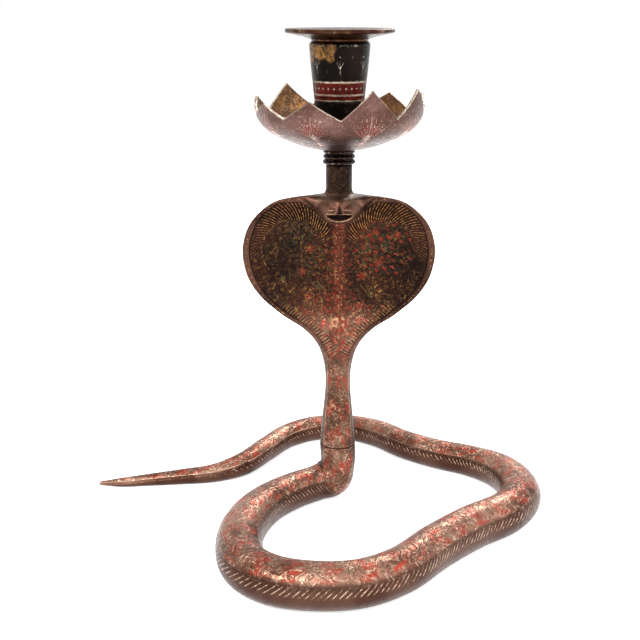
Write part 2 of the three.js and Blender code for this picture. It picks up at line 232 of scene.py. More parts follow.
def leaf(dx, dy, angle, length, width):
    along = dx * math.cos(angle) + dy * math.sin(angle)
    across = -dx * math.sin(angle) + dy * math.cos(angle)
    share = np.clip(along / length, 0, 1)
    edge = width * np.sin(math.pi * share) ** 0.8
    inside = smooth((edge - np.abs(across)) / 0.4 + 0.5) * (along > 0) * (along < length)
    rib = line(across, 0.25) * (along > 0) * (along < length)
    return inside, rib


# Curves

def catmull(points, shares):
    """Points on a centripetal Catmull-Rom curve."""
    p = np.array(points, float)
    padded = np.vstack([2 * p[0] - p[1], p, 2 * p[-1] - p[-2]])
    place = np.clip(shares, 0, 1) * (len(p) - 1)
    index = np.minimum(place.astype(int), len(p) - 2)
    w = (place - index)[:, None]
    x0, x1, x2, x3 = (padded[index + k] for k in range(4))
    d0, d1, d2 = (
        np.maximum(np.sqrt(np.linalg.norm(b - a, axis=1)), 1e-3)[:, None]
        for a, b in ((x0, x1), (x1, x2), (x2, x3))
    )
    t1 = ((x1 - x0) / d0 - (x2 - x0) / (d0 + d1) + (x2 - x1) / d1) * d1
    t2 = ((x2 - x1) / d1 - (x3 - x1) / (d1 + d2) + (x3 - x2) / d2) * d1
    c2 = -3 * x1 + 3 * x2 - 2 * t1 - t2
    c3 = 2 * x1 - 2 * x2 + t1 + t2
    return x1 + t1 * w + c2 * w**2 + c3 * w**3


def uniform_spline(points, shares):
    """Points on a uniform Catmull-Rom curve, as flat outlines use."""
    p = np.array(points, float)
    place = np.clip(shares, 0, 1) * (len(p) - 1)
    index = np.minimum(place.astype(int), len(p) - 2)
    w = (place - index)[:, None]
    x0 = p[np.where(index == 0, index, index - 1)]
    x1, x2 = p[index], p[index + 1]
    x3 = p[np.minimum(index + 2, len(p) - 1)]
    v0, v1 = (x2 - x0) / 2, (x3 - x1) / 2
    cubic = (2 * x1 - 2 * x2 + v0 + v1) * w**3
    return cubic + (-3 * x1 + 3 * x2 - 2 * v0 - v1) * w**2 + v0 * w + x1


# Meshes

def to_frame(points):
    return (np.asarray(points, float) * MM) + np.array([AXIS.x, AXIS.y, 0.0])


def to_mm(points):
    return (np.asarray(points, float) - np.array([AXIS.x, AXIS.y, 0.0])) / MM


def mesh_object(name, points, faces):
    mesh = bpy.data.meshes.new(name)
    mesh.from_pydata(to_frame(points).tolist(), [], faces)
    mesh.validate()
    mesh.polygons.foreach_set("use_smooth", [True] * len(mesh.polygons))
    mesh.update()
    piece = bpy.data.objects.new(name, mesh)
    bpy.context.scene.collection.objects.link(piece)
    return piece


def grid_faces(rows, columns, wrap_rows=False):
    """Quads over a grid whose columns close round."""
    last = rows if wrap_rows else rows - 1
    faces = []
    for r in range(last):
        for c in range(columns):
            d, s = (c + 1) % columns, (r + 1) % rows
            faces.append((r * columns + c, r * columns + d, s * columns + d, s * columns + c))
    return faces


def tube_object(name, rings):
    """A closed skin over an array of rings, with a fan at each end."""
    rows, columns, _ = rings.shape
    points = rings.reshape(-1, 3)
    faces = grid_faces(rows, columns)
    points = np.vstack([points, rings[0].mean(0), rings[-1].mean(0)])
    low, high = rows * columns, rows * columns + 1
    last = (rows - 1) * columns
    faces += [(low, (c + 1) % columns, c) for c in range(columns)]
    faces += [(high, last + c, last + (c + 1) % columns) for c in range(columns)]
    piece = mesh_object(name, points, faces)
    smooth_faces = np.ones(len(piece.data.polygons), bool)
    smooth_faces[-2 * columns:] = False
    piece.data.polygons.foreach_set("use_smooth", smooth_faces)
    return piece


def turned_object(name, outline, base, sides=160, steps=1):
    """A turned piece from an outline of (radius, height) that closes on itself."""
    points = []
    for (r0, z0), (r1, z1) in zip(outline, outline[1:] + outline[:1]):
        for k in range(steps):
            w = k / steps
            points.append((r0 + (r1 - r0) * w, z0 + (z1 - z0) * w))
    angles = np.linspace(0, 2 * math.pi, sides, endpoint=False)
    rings = [
        np.stack([r * np.cos(angles), r * np.sin(angles), np.full(sides, base + z)], 1)
        for r, z in points
    ]
    verts = np.array(rings).reshape(-1, 3)
    return mesh_object(name, verts, grid_faces(len(points), sides, wrap_rows=True))


def fix_normals(piece):
    """Turns every face outwards."""
    import bmesh
    bm = bmesh.new()
    bm.from_mesh(piece.data)
    bmesh.ops.recalc_face_normals(bm, faces=bm.faces)
    bm.to_mesh(piece.data)
    bm.free()
    piece.data.update()


def paint(piece, red, green, gold, groove_and_shade, phase=None, hatched=None, tone=None):
    """Stores where the enamel, bare brass and painted highlights, dark cut lines and painted shade, strokes
    and the snake's paler lacquer are.
    """
    zero = np.zeros(len(np.atleast_1d(red)))
    phase = zero if phase is None else phase
    hatched = zero if hatched is None else np.clip(hatched, 0, 1)
    tone = zero if tone is None else np.clip(tone, 0, 1)
    masks = [np.clip(mask, 0, 1) for mask in (red, green, gold, groove_and_shade)]
    store(piece, "ornament_and_painted_light", masks)
    store(piece, "strokes", [phase, hatched, tone, zero])


def store(piece, name, columns):
    """One named colour layer; points past the given ones, such as a cap's, stay 0."""
    values = np.zeros((len(piece.data.vertices), 4), np.float32)
    for place, column in enumerate(columns):
        values[: len(column), place] = column
    layer = piece.data.color_attributes.new(name, "FLOAT_COLOR", "POINT")
    layer.data.foreach_set("color", values.ravel())


def points_of(piece):
    flat = np.zeros(len(piece.data.vertices) * 3)
    piece.data.vertices.foreach_get("co", flat)
    return to_mm(flat.reshape(-1, 3))


def normals_of(piece):
    flat = np.zeros(len(piece.data.vertices) * 3)
    piece.data.vertices.foreach_get("normal", flat)
    return flat.reshape(-1, 3)


def move_points(piece, points):
    piece.data.vertices.foreach_set("co", to_frame(points).ravel())
    piece.data.update()


# Materials

class Nodes:
    """A few short names for building a material's nodes."""

    def __init__(self, name):
        self.material = bpy.data.materials.new(name)
        self.material.use_nodes = True
        self.tree = self.material.node_tree
        self.shader = self.tree.nodes["Principled BSDF"]

    def add(self, kind, **inputs):
        node = self.tree.nodes.new(kind)
        for key, value in inputs.items():
            node.inputs[key.replace("_", " ")].default_value = value
        return node

    def link(self, source, target):
        self.tree.links.new(source, target)

    def place(self):
        return self.add("ShaderNodeTexCoord").outputs["Object"]

    def noise(self, scale, detail=4.0, roughness=0.6):
        node = self.add("ShaderNodeTexNoise", Scale=scale, Detail=detail, Roughness=roughness)
        self.link(self.place(), node.inputs["Vector"])
        return node.outputs["Fac"]

    def ramp(self, source, low, high, bottom=0.0, top=1.0):
        node = self.tree.nodes.new("ShaderNodeMapRange")
        node.interpolation_type = "SMOOTHSTEP"
        node.inputs["From Min"].default_value = low
        node.inputs["From Max"].default_value = high
        node.inputs["To Min"].default_value = bottom
        node.inputs["To Max"].default_value = top
        self.link(source, node.inputs["Value"])
        return node.outputs["Result"]

    def maths(self, operation, a, b):
        node = self.tree.nodes.new("ShaderNodeMath")
        node.operation = operation
        for socket, value in zip(node.inputs, (a, b)):
            if isinstance(value, (int, float)):
                socket.default_value = value
            else:
                self.link(value, socket)
        return node.outputs[0]

    def mix(self, factor, a, b):
        node = self.tree.nodes.new("ShaderNodeMix")
        node.data_type = "RGBA"
        self.link(factor, node.inputs[0])
        for socket, value in ((node.inputs[6], a), (node.inputs[7], b)):
            if isinstance(value, tuple):
                socket.default_value = (*value, 1.0)
            else:
                self.link(value, socket)
        return node.outputs[2]

    def layer(self, name):
        node = self.tree.nodes.new("ShaderNodeAttribute")
        node.attribute_name = name
        parts = self.tree.nodes.new("ShaderNodeSeparateColor")
        self.link(node.outputs["Color"], parts.inputs[0])
        return (*parts.outputs, node.outputs["Alpha"])

    def contours(self, scale, levels, width, shift=0.5):
        """Thin curling lines, as engraved scrollwork has, with their width as a share of a level."""
        node = self.add("ShaderNodeTexNoise", Scale=scale, Detail=1.0, Roughness=0.5, Distortion=0.9)
        self.link(self.place(), node.inputs["Vector"])
        level = self.maths("FRACT", self.maths("MULTIPLY", node.outputs["Fac"], levels), 0.0)
        away = self.maths("ABSOLUTE", self.maths("SUBTRACT", level, shift), 0.0)
        return self.ramp(away, 0.0, width, 1.0, 0.0)

    def stroke(self, phase, centre, width):
        """Lines repeated once for each whole step of the phase."""
        away = self.maths("ABSOLUTE", self.maths("SUBTRACT", self.maths("FRACT", phase, 0.0), centre), 0.0)
        return self.ramp(away, width * 0.4, width, 1.0, 0.0)

    def relief(self, height, distance, strength=1.0):
        node = self.add("ShaderNodeBump", Distance=distance * MM, Strength=strength)
        self.link(height, node.inputs["Height"])
        self.link(node.outputs["Normal"], self.shader.inputs["Normal"])


def lacquer_material(name, dark, warm, bright=BRASS, wear=0.5, rough=(0.24, 0.46), metal=0.85,
                     green=GREEN_ENAMEL, scroll=SCROLL_SCALE):
    """Lacquered brass: patchy lacquer over metal, enamel, and lines cut through to bright metal, which
    painted glints make sparkle, with painted shadow lines beside them; the stored painted highlights and
    shade show in it too.
    """
    n = Nodes(name)
    red_mask, green_mask, gold_mask, groove_and_shade = n.layer("ornament_and_painted_light")
    phase, hatched, tone, _ = n.layer("strokes")
    broad, fine = n.noise(38.0, 3.0), n.noise(520.0, 5.0, 0.7)
    patches = n.noise(150.0, 3.0, 0.6)
    patchy = n.ramp(broad, 0.36, 0.66)
    base = n.mix(tone, n.mix(patchy, dark, warm), n.mix(patchy, LACQUER, LACQUER_RED))
    curls = n.maths("MAXIMUM", n.contours(scroll, 5.0, 0.17), n.contours(scroll * 1.7, 4.0, 0.13))
    # Dark lines beside the bright scroll lines: an engraved line's dark fill together with a painted shadow
    # that makes the bright lines look raised.
    cut_shadows = n.maths("MAXIMUM", n.contours(scroll, 5.0, 0.17, 0.82), n.contours(scroll * 1.7, 4.0, 0.13, 0.82))
    # Breaks along the bright lines and strokes, which also make them sparkle as painted glints.
    breaks_and_glints = n.ramp(n.noise(620.0, 2.0), 0.4, 0.6, 0.12, 1.0)
    kept = n.ramp(patches, 0.36, 0.62, 0.35, 1.0)
    drawn = n.maths("MULTIPLY", n.maths("MULTIPLY", gold_mask, curls), n.maths("MULTIPLY", breaks_and_glints, kept))
    solid = n.maths("MULTIPLY", n.ramp(gold_mask, 0.72, 0.95), kept)
    speckle = n.maths("MULTIPLY", n.ramp(fine, 0.6, 0.76), wear)
    speckle = n.maths("MULTIPLY", speckle, n.maths("SUBTRACT", 1.0, groove_and_shade))
    gold = n.maths("MAXIMUM", n.maths("MAXIMUM", drawn, solid), speckle)
    shining = n.maths("MULTIPLY", n.maths("MULTIPLY", n.stroke(phase, 0.8, 0.16), hatched), breaks_and_glints)
    gold = n.maths("MAXIMUM", gold, shining)
    furrow = n.maths("MULTIPLY", n.stroke(phase, 0.4, 0.26), hatched)
    cut = n.maths("MULTIPLY", n.maths("MULTIPLY", cut_shadows, gold_mask), 0.8)
    groove_and_shade = n.maths("MAXIMUM", n.maths("MAXIMUM", groove_and_shade, furrow), cut)
    between = n.maths("SUBTRACT", 1.0, n.maths("MULTIPLY", curls, 0.6))
    enamel = n.maths("MULTIPLY", n.maths("MULTIPLY", red_mask, between),
                     n.ramp(patches, 0.3, 0.5, 0.3, 1.0))
    colour = n.mix(enamel, base, n.mix(tone, RED_ENAMEL, SNAKE_RED))
    rubbed = n.maths("MULTIPLY", green_mask, n.ramp(fine, 0.36, 0.56, 0.2, 0.85))
    colour = n.mix(rubbed, colour, green)
    colour = n.mix(n.maths("MULTIPLY", groove_and_shade, 0.8), colour, tuple(0.25 * c for c in dark))
    metal_colour = n.mix(tone, bright, PALE_METAL)
    colour = n.mix(n.maths("MULTIPLY", gold, 0.9), colour, metal_colour)
    n.link(colour, n.shader.inputs["Base Color"])
    covered = n.maths("MULTIPLY", n.maths("MAXIMUM", red_mask, green_mask), -0.3)
    bare = n.maths("MULTIPLY", gold, 0.12)
    n.link(n.maths("ADD", n.maths("ADD", covered, bare), metal), n.shader.inputs["Metallic"])
    n.link(n.ramp(fine, 0.3, 0.7, *rough), n.shader.inputs["Roughness"])
    n.shader.inputs["Specular IOR Level"].default_value = 0.25
    raised = n.maths("ADD", n.maths("MULTIPLY", fine, 0.4), n.maths("MULTIPLY", gold, 0.5))
    n.relief(n.maths("ADD", raised, n.maths("MULTIPLY", groove_and_shade, -1.0)), RELIEF)
    return n.material


def floor_material():
    """Pale paint that keeps a soft shadow and meets the white background without a horizon."""
    n = Nodes("floor_paint")
    n.shader.inputs["Base Color"].default_value = (0.93, 0.93, 0.93, 1)
    n.shader.inputs["Roughness"].default_value = 0.9
    n.shader.inputs["Specular IOR Level"].default_value = 0.1
    n.shader.inputs["Emission Color"].default_value = (1, 1, 1, 1)
    path = n.tree.nodes.new("ShaderNodeLightPath")
    seen = n.maths("MAXIMUM", path.outputs["Is Camera Ray"], path.outputs["Is Glossy Ray"])
    seen = n.maths("MAXIMUM", seen, path.outputs["Is Transmission Ray"])
    n.link(n.maths("MULTIPLY", seen, FLOOR_GLOW), n.shader.inputs["Emission Strength"])
    return n.material


# Snake body

def arc_route():
    """x, y, z, radius from the top of the elbow to past the tail joint."""
    bend_top = COIL_ROUTE[0][2] - FOOT_FLAT + ELBOW_BEND
    half = ELBOW_BEND * math.sqrt(0.5)
    route = [
        (0, 0, SEAM_HEIGHT + 12, NECK_RADIUS),
        (0, 0, SEAM_HEIGHT, NECK_RADIUS),
        (0, 0, bend_top, NECK_RADIUS),
        (half - ELBOW_BEND, COIL_ROUTE[0][1] / 4, bend_top - half, ELBOW_FULLNESS),
    ]
    return route + [(x, y, r - FOOT_FLAT, r) for x, y, r in COIL_ROUTE]


def body_route():
    """The whole snake's middle line; the filed flat gets shallower as the tail gets thinner."""
    first = TAIL_ROUTE[0][2]
    tail = [(x, y, r - FOOT_FLAT * min(1, r / first), r) for x, y, r in TAIL_ROUTE[1:]]
    return arc_route() + tail


def travelled_along(route):
    """Shares of the route's points, and how far along the curve each lies."""
    shares = np.linspace(0, 1, 4000)
    middle = catmull([p[:3] for p in route], shares)
    steps = np.linalg.norm(np.diff(middle, axis=0), axis=1)
    return shares, np.concatenate([[0], np.cumsum(steps)])


def swept_rings(route, start, stop, rows, sides):
    """Rings at even spacing, their zero angle kept on top of the body, and what each ring measures."""
    shares, travelled = travelled_along(route)
    wanted = np.linspace(start, stop, rows)
    even = np.interp(wanted, travelled, shares)
    centres = catmull([p[:3] for p in route], even)
    radii = catmull([(i, p[3], 0) for i, p in enumerate(route)], even)[:, 1]
    tangents = np.gradient(centres, axis=0)
    tangents /= np.linalg.norm(tangents, axis=1)[:, None]
    tops = np.zeros_like(tangents)
    for i in range(rows):
        rising = float(smooth((abs(tangents[i, 2]) - 0.1) / 0.6))
        top = (1 - rising) * np.array([0.0, 0.0, 1.0]) + rising * np.array(FACE_FRONT)
        top = top - tangents[i] * (top @ tangents[i])
        top /= np.linalg.norm(top)
        tops[i] = top
    sideways = np.cross(tangents, tops)
    angles = np.linspace(0, 2 * math.pi, sides, endpoint=False)
    around = (
        tops[:, None] * np.cos(angles)[None, :, None]
        + sideways[:, None] * np.sin(angles)[None, :, None]
    )
    return centres, around, radii, wanted, angles


def band_pattern(s, t, radius):
    """Ornament on the snake's back, and painted shade on its flanks: s along the body, t round it from the
    top, in millimetres.
    """
    band = 0.98 * radius
    inside = smooth((band - np.abs(t)) / 0.5 + 0.5)
    wave = 16.0
    vine = 0.42 * band * np.sin(2 * math.pi * s / wave)
    red, green = np.zeros_like(s), np.zeros_like(s)
    outline = line(t - vine, 0.3) * inside
    for phase, side in ((0.25, -1), (0.75, 1)):
        ds = (s - phase * wave + wave / 2) % wave - wave / 2
        petal, edge = rosette(ds, t - side * 0.42 * band, 0.30 * radius, 6, 0.3)
        red = np.maximum(red, petal * inside)
        outline = np.maximum(outline, edge * inside)
    for k in range(8):
        ds = (s - k * wave / 8 + wave / 2) % wave - wave / 2
        at = 0.42 * band * math.sin(2 * math.pi * k / 8)
        turn = math.radians(62 if k % 2 else -62)
        blade, rib = leaf(ds, t - at, turn, 0.42 * radius, 0.09 * radius)
        green = np.maximum(green, blade * inside * (1 - red))
        outline = np.maximum(outline, rib * inside)
    streaks = smooth((wander(s * 1.1 + t, t * 2.8 - s * 0.4, 4) - 0.6) / 0.08)
    red = np.maximum(0.5 * red, 0.95 * streaks * inside)
    red = red * (0.45 + 0.55 * wander(s * 0.5, t, 5))
    borders = 0.9 * line(np.abs(t) - band, 0.35) + 0.5 * line(np.abs(t) - band - 1.3, 0.3)
    gold = np.maximum(inside * (0.52 + 0.18 * wander(s, t, 8)), 0.7 * outline)
    skirt = smooth((np.abs(t) - band - 1.8) / 0.6)
    skirt = skirt * smooth((band + 0.62 * radius - np.abs(t)) / 1.2)
    phase = (s + 0.9 * np.abs(t)) / 2.3
    # The flanks and underside past the back band are painted dark: painted shade on the body's sides.
    side = smooth((np.abs(t) - 0.85 * band) / 3)
    red = np.maximum(red, 0.15 * side)
    return red, 0.35 * green, np.maximum(gold, borders), side, phase, 0.7 * skirt


def body_piece(name, node, stretch, rows, sides, low_cut=None):
    centres, around, radii, along, angles = swept_rings(body_route(), *stretch, rows, sides)
    turn = np.where(angles > math.pi, angles - 2 * math.pi, angles)
    s = np.repeat(along[:, None], sides, 1)
    t = radii[:, None] * turn[None, :]
    red, green, gold, groove_and_shade, phase, skirt = band_pattern(s, t, radii[:, None])
    depth = radii[:, None] - 0.12 * skirt * strokes(phase, 1, 0.4) - 0.05 * gold
    rings = centres[:, None] + around * depth[:, :, None]
    low_corner, high_corner = to_mm([tuple(corner) for corner in cad_box])
    rings = np.clip(rings, low_corner, high_corner)
    if low_cut is not None:
        rings[:, :, 2] = np.where(
            (rings[:, :, 2] > low_cut) & (np.abs(rings[:, :, 0]) < 14), low_cut, rings[:, :, 2]
        )
    piece = tube_object(name, rings)
    layers = (red, green, gold, groove_and_shade, phase, skirt)
    paint(piece, *(layer.ravel() for layer in layers), tone=np.ones(red.size))
    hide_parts(node)
    return piece


# Hood with head and stem

def hood_rings(rows, steps):
    """Closed sections of the hood from the neck seam to its top edge."""
    outline = uniform_spline(HOOD_OUTLINE, np.linspace(0, 1, rows))
    outline = np.vstack([outline, [(HOOD_TOP, HOOD_TOP_HALF_WIDTH)]])
    swing = np.cos(math.pi * np.arange(steps + 1) / steps)
    u_front, u_back = -swing, swing[1:-1]
    rings = []
    for z, half in outline:
        ring = []
        for u, face in ((u_front, -1), (u_back, 1)):
            ring.append(hood_surface(u, face, z, half))
        rings.append(np.vstack(ring))
    return np.array(rings)


def shoulder_line(x):
    """Where the rim, on its way into the head, ends the dish."""
    return HOOD_TOP - SHOULDER_DROP + SHOULDER_SLOPE * np.maximum(0, np.abs(x) - SHOULDER_INNER)


def hood_surface(u, face, z, half):
    spread = float(smooth((half - ROUND_BODY_WIDTH) / (FULL_HOOD_WIDTH - ROUND_BODY_WIDTH)))
    dished = 1.0 if z > HOOD_WIDEST_HEIGHT else spread
    depth = HOOD_DISH_DEPTH * math.sqrt(half / HOOD_WIDEST)
    x = u * half
    ridge = RIDGE_HEIGHT * bump(x, RIDGE_HALF_WIDTH)
    bead = RIM_BEAD * bump((1 - np.abs(u)) * half, RIM_BEAD_WIDTH)
    edge = np.sqrt(np.maximum(0, 1 - np.abs(u) ** 8))
    rolled = TOP_ROLL_SHARE * smooth(1 - (HOOD_TOP - z) / TOP_ROLL_HEIGHT)
    reach = TOP_ROLL_SHARE + COLLAR_SHARE * bump(x, COLLAR_WIDTH)
    shoulder = reach * smooth((z - shoulder_line(x)) / 4)
    behind = rolled * (1 - bump(x, COLLAR_WIDTH))
    forward = np.maximum(rolled, shoulder) if face < 0 else behind
    flat = (1 - np.abs(u) ** 2.6) * (1 - forward)
    sheet = HOOD_BACK - depth * (1 - flat) + face * edge * (HOOD_WALL / 2 + ridge + bead)
    thick = half if z < THROAT_HEIGHT else THROAT_RADIUS
    body = face * thick * np.sqrt(np.maximum(0, 1 - u * u))
    y = body * (1 - dished) + sheet * dished
    return np.stack([x, y, np.full_like(x, z)], 1)


def head_form():
    """The cobra's head: from the rim forward, each section given as y, half width, height, half height."""
    sections = uniform_spline(HEAD_SECTIONS, np.linspace(0, 1, 60))
    turn = np.linspace(0, 2 * math.pi, 72, endpoint=False)
    c, s = np.cos(turn), np.sin(turn)
    across = np.sign(c) * np.abs(c) ** HEAD_SQUARENESS
    upward = np.sign(s) * np.abs(s) ** HEAD_SQUARENESS
    rings = [
        np.stack([wide * across, np.full_like(across, y), z + tall * upward], 1)
        for y, wide, z, tall in sections
    ]
    return tube_object("head_form", np.array(rings))


def stem_piece():
    foot = STEM_FOOT
    outline = [
        (0.01, foot - 6), (STEM_RADIUS + STEM_FLARE * 0.4, foot - 6),
        (STEM_RADIUS + STEM_FLARE, foot), (STEM_RADIUS + STEM_FLARE * 0.5, foot + 1),
        (STEM_RADIUS + STEM_FLARE * 0.15, foot + 2.2), (STEM_RADIUS, foot + 3.6),
        (STEM_RADIUS, STEM_TOP), (0.01, STEM_TOP),
    ]
    return turned_object("stem_form", outline, 0, 96, 6)


def joined_and_remeshed(name, forms, voxel, smoothing):
    """One skin round several closed forms."""
    import bmesh
    bm = bmesh.new()
    for form in forms:
        bm.from_mesh(form.data)
        bpy.data.objects.remove(form)
    bmesh.ops.recalc_face_normals(bm, faces=bm.faces)
    mesh = bpy.data.meshes.new(name)
    bm.to_mesh(mesh)
    bm.free()
    piece = bpy.data.objects.new(name, mesh)
    bpy.context.scene.collection.objects.link(piece)
    remesh = piece.modifiers.new("skin", "REMESH")
    remesh.mode = "VOXEL"
    remesh.voxel_size = voxel * MM
    soften = piece.modifiers.new("soften", "SMOOTH")
    soften.factor = 0.5
    soften.iterations = smoothing
    graph = bpy.context.evaluated_depsgraph_get()
    finished = bpy.data.meshes.new_from_object(piece.evaluated_get(graph))
    piece.modifiers.clear()
    piece.data = finished
    finished.name = name
    finished.polygons.foreach_set("use_smooth", [True] * len(finished.polygons))
    finished.update()
    return piece


def half_width_at(z):
    outline = uniform_spline(HOOD_OUTLINE, np.linspace(0, 1, 400))
    return np.interp(z, outline[:, 0], outline[:, 1])


# Flowers on the hood: x, height, radius, petals, colour
HOOD_FLOWERS = [
    (-13, 126, 3.4, 6, "red"), (-22, 121, 3.6, 8, "gold"), (-30, 126, 2.8, 6, "gold"),
    (-17, 115, 2.9, 6, "red"), (-26, 112, 2.5, 6, "green"), (-9, 108, 2.6, 7, "green"),
    (13, 126, 3.6, 7, "green"), (22, 127, 4.0, 8, "green"), (17, 134, 2.8, 6, "red"),
    (27, 133, 2.8, 6, "red"), (19, 119, 3.6, 6, "red"), (30, 122, 3.0, 8, "gold"),
    (11, 113, 3.0, 6, "red"), (24, 111, 2.6, 6, "gold"), (-8, 99, 2.6, 6, "gold"),
    (9, 98, 2.8, 8, "red"), (-14, 103, 2.4, 6, "red"), (15, 104, 2.4, 6, "green"),
    (0, 88, 2.4, 6, "red"), (0, 78, 2.2, 6, "gold"),
]
LOBE = (21.0, 126.0)
LOBE_REACH = 15.0
FAN_STEP = 4.4
LOW_FAN_STEP = 1.7
SPRAYS = [(-15, 97), (16, 102), (-20, 103), (12, 92), (-9, 90)]


def hood_pattern(points, normals):
    x, y, z = points.T
    half = half_width_at(np.clip(z, HOOD_OUTLINE[0][0], HOOD_OUTLINE[-1][0]))
    below_shoulder = (shoulder_line(x) - z) * 0.8 + 3.2
    below_top = np.where(z > 136, HOOD_TOP - z, 1e3)
    edge = np.minimum(np.minimum(half - np.abs(x), below_shoulder), below_top)
    front = smooth(-normals[:, 1] * 2 + 0.2) * (z > 74)
    off_head = np.hypot(x, (z - 146) * 1.4) > 11.5
    dish = smooth((edge - 3.2) / 0.8) * front * off_head
    reach = np.hypot(np.abs(x) - LOBE[0], z - LOBE[1])
    angle = np.degrees(np.arctan2(z - LOBE[1], np.abs(x) - LOBE[0]))
    inner = smooth((LOBE_REACH - reach) / 3)
    fan = dish * smooth((reach - 13.5) / 1.0) * smooth((angle + 12) / 8) * smooth((168 - angle) / 8)
    phase = (angle + 1.6 * (reach - 15)) / FAN_STEP
    low_fan = dish * smooth((102 - z) / 6) * smooth((9 - edge) / 1.5)
    phase = np.where(z < 108, (z + 0.7 * np.abs(x)) / LOW_FAN_STEP, phase)
    fading = 0.25 + 0.75 * smooth((angle - 10) / 70)
    hatched = np.maximum(fan * fading * smooth((np.abs(x) - 3.5) / 2), 0.6 * low_fan)
    red, green, groove_and_shade = (np.zeros_like(x) for _ in range(3))
    # Painted shade: the dish is darkened in its upper lobes and in a band just inside the rolled rim.
    lobe_shade = 0.95 * bump(np.abs(x) - 29, 16) * bump(z - 121, 21)
    rim_shade = 0.5 * smooth((edge - 3.2) / 4) * smooth((9 - edge) / 4)
    groove_and_shade = np.maximum(lobe_shade, rim_shade) * dish
    gold = (0.4 - 0.28 * lobe_shade) * dish * (1 - 0.9 * fan)
    rim = front * off_head * smooth((3.4 - edge) / 0.5)
    # Painted highlight: a bright line along the crest of the rolled rim.
    gold = np.maximum(gold, 0.66 * rim * line(edge - 1.7, 0.45))
    groove_and_shade = np.maximum(groove_and_shade, 0.85 * front * off_head * line(edge - 3.5, 0.5))
    for fx, fz, radius, petals, colour in HOOD_FLOWERS:
        petal, outline = rosette(x - fx, z - fz, 0.68 * radius, petals, 0.2 * fx)
        near = dish * petal
        if colour == "red":
            red = np.maximum(red, near)
        elif colour == "green":
            green = np.maximum(green, 0.8 * near)
        gold = np.maximum(gold, 0.7 * outline * dish)
    for sx, sz in SPRAYS:
        for k in range(7):
            blade, rib = leaf(x - sx, z - sz, math.radians(50 + 13.5 * k), 7.5, 0.5)
            gold = np.maximum(gold, 0.75 * np.maximum(blade, rib) * dish)
    border = dish * line(reach - 13, 2.2) * (angle > -40) * np.where(x < 0, 1.0, 0.4)
    gold = np.maximum(gold, 0.85 * border * (line(reach - 11.4, 0.4) + line(reach - 14.4, 0.35)))
    field = wander(x * 3.6, z * 3.6, 11)
    right = smooth((x + 6) / 6)
    spots = smooth((field - 0.8) / 0.08) * np.maximum(inner * right, bump(x, 8))
    red = np.maximum(red * 0.6, 0.85 * dish * spots)
    low = bump(x, 16) * smooth((108 - z) / 12) * dish
    red = np.maximum(red, 0.9 * low * smooth((wander(x * 3, z * 2, 12) - 0.66) / 0.08))
    green = np.maximum(green, 0.6 * dish * smooth((0.3 - field) / 0.1) * inner)
    # Painted pool of light on the lower middle of the hood, drawn as patchy bright brass; the painted shade
    # is lifted there.
    painted_light_pool = bump(x, 17) * bump(z - 92, 15) * dish
    groove_and_shade = groove_and_shade * (1 - painted_light_pool) * (1 - red)
    gold = np.maximum(gold, 0.9 * painted_light_pool * smooth((wander(x * 1.6, z * 1.6, 33) - 0.35) / 0.3))
    ridge = bump(x, 3.0) * front * (z < 140) * smooth((z - 78) / 10)
    gold = np.maximum(gold, ridge * (0.66 + 0.14 * wander(x * 2, z, 31)))
    red = np.maximum(red, 0.3 * ridge)
    stem = smooth((z - 152.2) / 1.5)
    green = np.maximum(green, 0.5 * bump(z - 151.5, 2.2) * (np.hypot(x, y) < 12))
    groove_and_shade = np.maximum(groove_and_shade, 0.92 * stem)
    keep = 1 - stem
    low_tone = 0.5 * bump(x, 20) * smooth((106 - z) / 20)
    neck_tone = smooth((84 - z) / 14) * (1 - 0.45 * smooth((z - 30) / 18))
    tone = np.maximum(np.maximum(0.2 * rim, low_tone), neck_tone)
    tone = np.maximum(tone, 0.15 * bump(x, 4.0) * front * (z < 140))
    on_head = smooth((13.5 - np.hypot(x, (z - 146) * 1.4)) / 3) * (1 - stem)
    tone = np.maximum(tone, 0.5 * on_head)
    gold = np.maximum(gold * keep, 0.15 * stem)
    return red * keep, green, gold, groove_and_shade, phase, hatched * keep, tone


def neck_pattern(points):
    x, y, z = points.T
    radius = half_width_at(z)
    around = np.arctan2(x, -y) * radius
    layers = band_pattern(z * 1.0, around, radius)
    here = smooth((80 - z) / 8)
    return [layer * here for layer in layers[:4]], layers[4], layers[5] * here, z < 76


def face_marks(points):
    """How far the face is pushed in, and where it is dark or bright."""
    x, y, z = points.T
    face = smooth((-y - 4) / 3) * (z > 138) * (z < 152)
    wide = 1 - (x / MOUTH_HALF_WIDTH) ** 2
    low_edge = MOUTH_TOP - MOUTH_DROP * wide
    mouth = smooth((MOUTH_TOP - z) / 0.5 + 0.5) * smooth((z - low_edge) / 0.5 + 0.5) * face
    mouth = mouth * smooth(wide / 0.15)
    lip = bump(z - low_edge + 0.6, 0.5) * smooth((wide + 0.25) / 0.3) * face
    upper = bump(z - MOUTH_TOP - 0.5, 0.4) * smooth((wide + 0.1) / 0.3) * face
    ends = smooth((6.2 - np.abs(x)) / 1.6) * smooth((np.abs(x) - 1.6) / 0.8) * face
    arch = z - EYE_HEIGHT + 0.03 * x**2
    brow = bump(arch, 0.4) * ends
    lid = bump(arch - 0.85, 0.5) * ends
    share = np.clip((NOSE_APEX - z) / (NOSE_APEX - NOSE_FOOT), 0, 1)
    nose = smooth((NOSE_HALF_WIDTH * share - np.abs(x)) / 0.5 + 0.5) * face
    nose = nose * (z > NOSE_FOOT) * (z < NOSE_APEX)
    push = 1.5 * mouth - 0.8 * lip - 0.3 * upper + 0.4 * brow - 0.5 * lid - 0.5 * nose
    dark = np.clip(mouth + 0.5 * brow + 0.95 * nose, 0, 1)
    bright = np.clip(1.0 * lip + 0.95 * lid + 0.95 * upper, 0, 1) * (1 - mouth) * (1 - nose)
    return push, dark, bright


